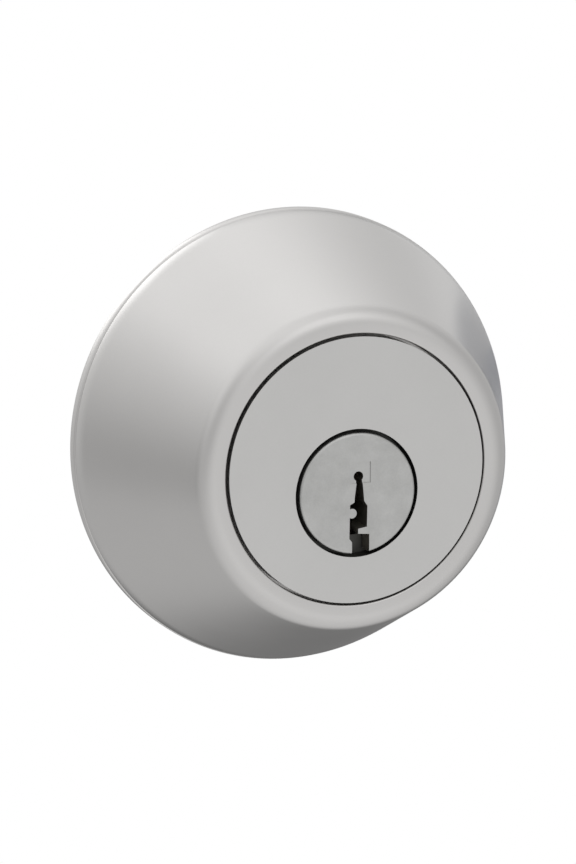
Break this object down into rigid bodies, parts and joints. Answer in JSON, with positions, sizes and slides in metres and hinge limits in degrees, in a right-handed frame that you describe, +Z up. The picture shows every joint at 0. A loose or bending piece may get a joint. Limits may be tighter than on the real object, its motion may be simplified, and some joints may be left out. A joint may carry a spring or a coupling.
{
  "type": "deadbolt door lock",
  "caption": "Round tapered deadbolt door lock with a keyed outside cylinder, a sliding bolt and faceplate on the door's edge, and an inside thumb turn.",
  "frame": {"origin": "middle of the door's cross bore on the outside face of the door, which is the axis of the key plug", "axes": "+Z up, +Y through the door from the outside to the inside, +X towards the door's edge, the way that the bolt shoots"},
  "size_m": [0.0928, 0.0955, 0.0677],
  "materials": {
    "satin_nickel": "satin",
    "face_nickel": "satin",
    "plug_nickel": "satin",
    "brass": "satin",
    "zinc_steel": "plated",
    "hardened_steel": "ground",
    "spring_steel": "bright"
  },
  "bodies": {
    "chassis": {"cylinder_housing": "face_nickel", "cylinder_guard": "hardened_steel", "pin_spring_1": "spring_steel", "pin_spring_2": "spring_steel", "pin_spring_3": "spring_steel", "pin_spring_4": "spring_steel", "pin_spring_5": "spring_steel", "spring_cover": "brass", "tail_retainer": "zinc_steel", "bolt_faceplate": "satin_nickel", "backing_plate": "zinc_steel", "bolt_tube": "zinc_steel", "case_outer": "zinc_steel", "case_inner": "zinc_steel", "case_rivets": "zinc_steel", "support_plate": "zinc_steel", "inside_rose": "satin_nickel", "turn_washer": "zinc_steel", "mounting_screws": "zinc_steel"},
    "collar": {"trim_collar": "satin_nickel"},
    "cylinder": {"plug": "plug_nickel", "plug_clip": "spring_steel"},
    "tail": {"tailpiece": "zinc_steel"},
    "crank": {"bolt_fork": "brass"},
    "bolt": {"deadbolt": "satin_nickel", "bolt_roller": "hardened_steel", "bolt_link": "zinc_steel", "link_pin": "hardened_steel", "drive_pin": "hardened_steel"},
    "turn": {"thumb_turn": "satin_nickel", "turn_clip": "spring_steel"},
    "key_pin_1_body": {"key_pin_1": "brass"},
    "driver_pin_1_body": {"driver_pin_1": "brass"},
    "key_pin_2_body": {"key_pin_2": "brass"},
    "driver_pin_2_body": {"driver_pin_2": "brass"},
    "key_pin_3_body": {"key_pin_3": "brass"},
    "driver_pin_3_body": {"driver_pin_3": "brass"},
    "key_pin_4_body": {"key_pin_4": "brass"},
    "driver_pin_4_body": {"driver_pin_4": "brass"},
    "key_pin_5_body": {"key_pin_5": "brass"},
    "driver_pin_5_body": {"driver_pin_5": "brass"}
  },
  "joints": [
    {"name": "collar_spin", "type": "hinge", "parent": "chassis", "child": "collar", "pos_m": [0, 0, 0.0032], "axis": [0, -1, 0], "continuous": true},
    {"name": "cylinder_turn", "type": "hinge", "parent": "chassis", "child": "cylinder", "pos_m": [0, 0, 0], "axis": [0, -1, 0], "range_deg": [-45, 135]},
    {"name": "inside_turn", "type": "hinge", "parent": "chassis", "child": "turn", "pos_m": [0, 0, 0], "axis": [0, -1, 0], "range_deg": [0, 90]},
    {"name": "inside_turn_tail", "type": "hinge", "parent": "chassis", "child": "tail", "pos_m": [0, 0, 0], "axis": [0, -1, 0], "range_deg": [0, 90]},
    {"name": "inside_turn_crank", "type": "hinge", "parent": "chassis", "child": "crank", "pos_m": [0, 0, 0], "axis": [0, -1, 0], "range_deg": [0, 90]},
    {"name": "bolt_slide", "type": "slide", "parent": "chassis", "child": "bolt", "axis": [1, 0, 0], "range_m": [0, 0.0254]},
    {"name": "key_pin_drop_1", "type": "slide", "parent": "cylinder", "child": "key_pin_1_body", "axis": [0, 0, 1], "range_m": [-0.0019, 0]},
    {"name": "driver_lift_1", "type": "slide", "parent": "chassis", "child": "driver_pin_1_body", "axis": [0, 0, 1], "range_m": [0, 0.0012], "stiffness_N_per_m": 150, "springref_m": -0.004, "deforming": ["pin_spring_1"]},
    {"name": "key_pin_drop_2", "type": "slide", "parent": "cylinder", "child": "key_pin_2_body", "axis": [0, 0, 1], "range_m": [-0.0007, 0]},
    {"name": "driver_lift_2", "type": "slide", "parent": "chassis", "child": "driver_pin_2_body", "axis": [0, 0, 1], "range_m": [0, 0.0012], "stiffness_N_per_m": 150, "springref_m": -0.004, "deforming": ["pin_spring_2"]},
    {"name": "key_pin_drop_3", "type": "slide", "parent": "cylinder", "child": "key_pin_3_body", "axis": [0, 0, 1], "range_m": [-0.0023, 0]},
    {"name": "driver_lift_3", "type": "slide", "parent": "chassis", "child": "driver_pin_3_body", "axis": [0, 0, 1], "range_m": [0, 0.0012], "stiffness_N_per_m": 150, "springref_m": -0.004, "deforming": ["pin_spring_3"]},
    {"name": "key_pin_drop_4", "type": "slide", "parent": "cylinder", "child": "key_pin_4_body", "axis": [0, 0, 1], "range_m": [-0.0003, 0]},
    {"name": "driver_lift_4", "type": "slide", "parent": "chassis", "child": "driver_pin_4_body", "axis": [0, 0, 1], "range_m": [0, 0.0012], "stiffness_N_per_m": 150, "springref_m": -0.004, "deforming": ["pin_spring_4"]},
    {"name": "key_pin_drop_5", "type": "slide", "parent": "cylinder", "child": "key_pin_5_body", "axis": [0, 0, 1], "range_m": [-0.0015, 0]},
    {"name": "driver_lift_5", "type": "slide", "parent": "chassis", "child": "driver_pin_5_body", "axis": [0, 0, 1], "range_m": [0, 0.0012], "stiffness_N_per_m": 150, "springref_m": -0.004, "deforming": ["pin_spring_5"]}
  ],
  "couplings": [
    {"joint": "inside_turn_tail", "follows": "inside_turn", "ratio": 1},
    {"joint": "inside_turn_crank", "follows": "inside_turn", "ratio": 1},
    {"joint": "bolt_slide", "follows": "inside_turn", "m_per_rad": 0.01617}
  ]
}
